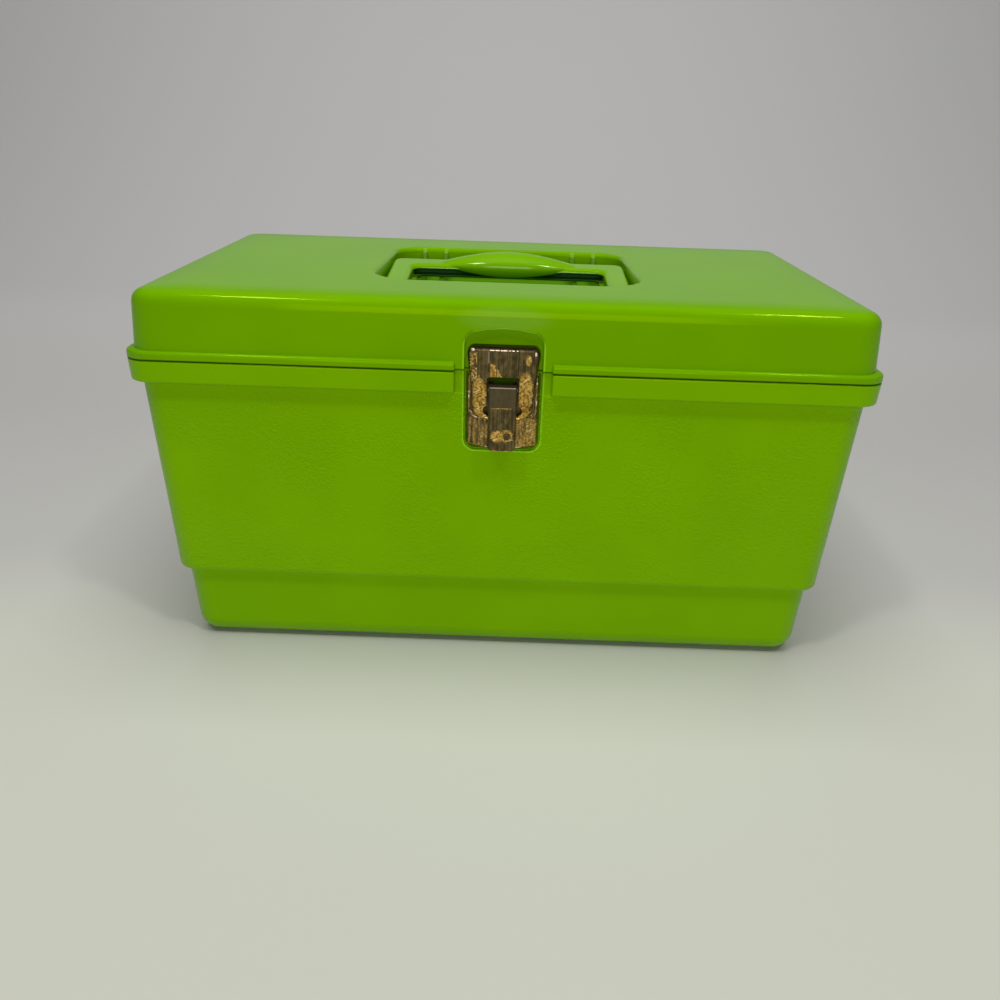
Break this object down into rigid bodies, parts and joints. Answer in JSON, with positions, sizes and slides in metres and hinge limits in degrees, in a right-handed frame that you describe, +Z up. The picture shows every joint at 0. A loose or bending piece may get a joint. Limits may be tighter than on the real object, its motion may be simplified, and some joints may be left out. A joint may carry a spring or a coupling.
{
  "type": "sewing box",
  "caption": "Moulded plastic sewing box with hinged lid, folding bail handle in the lid, over-centre draw latch and a lift-out tray.",
  "frame": {"origin": "on the resting plane, below the middle of the whole outline including the latch in front and the hinge barrels behind", "axes": "+X to the right along the front, +Y to the back where the hinge is, +Z up"},
  "size_m": [0.33, 0.2022, 0.1791],
  "materials": {
    "green_plastic": "moulded, glossy, with a fine leather grain on the upper walls of the base",
    "tray_plastic": "moulded, satin, off-white",
    "antique_brass": "antique bronze finish worn through to brass",
    "rivet_brass": "dull",
    "pin_steel": "bright drawn wire"
  },
  "bodies": {
    "case": {"base_shell": "green_plastic", "latch_base_plate": "antique_brass", "latch_rivets": "rivet_brass", "latch_rivet_washers": "pin_steel", "hinge_pin_left": "pin_steel", "hinge_pin_right": "pin_steel"},
    "lid": {"lid_shell": "green_plastic", "keeper_plate": "antique_brass", "keeper_rivets": "rivet_brass", "keeper_rivet_washers": "pin_steel", "handle_pin_left": "pin_steel", "handle_pin_right": "pin_steel"},
    "handle": {"handle_bail": "green_plastic"},
    "tray": {"lift_out_tray": "tray_plastic", "tray_grip": "tray_plastic", "spool_rack": "tray_plastic"},
    "lever": {"latch_lever": "antique_brass", "latch_lever_pin": "antique_brass"},
    "link": {"latch_link": "antique_brass"}
  },
  "joints": [
    {"name": "lid_hinge", "type": "hinge", "parent": "case", "child": "lid", "pos_m": [0, 0.09795, 0.1468], "axis": [-1, 0, 0], "range_deg": [0, 100]},
    {"name": "handle_hinge", "type": "hinge", "parent": "lid", "child": "handle", "pos_m": [0, -0.03045, 0.165], "axis": [1, 0, 0], "range_deg": [0, 95]},
    {"name": "tray_lift", "type": "slide", "parent": "case", "child": "tray", "axis": [0, 0, 1], "range_m": [0, 0.075]},
    {"name": "latch_lever", "type": "hinge", "parent": "case", "child": "lever", "pos_m": [0, -0.09805, 0.139], "axis": [-1, 0, 0], "range_deg": [0, 150]},
    {"name": "latch_link", "type": "hinge", "parent": "lever", "child": "link", "pos_m": [0, -0.09695, 0.1256], "axis": [-1, 0, 0], "range_deg": [-180, 0]}
  ],
  "couplings": [
    {"joint": "tray_lift", "follows": "lid_hinge", "m_per_rad": 0.0425},
    {"joint": "latch_link", "follows": "latch_lever", "ratio": -1.2}
  ]
}
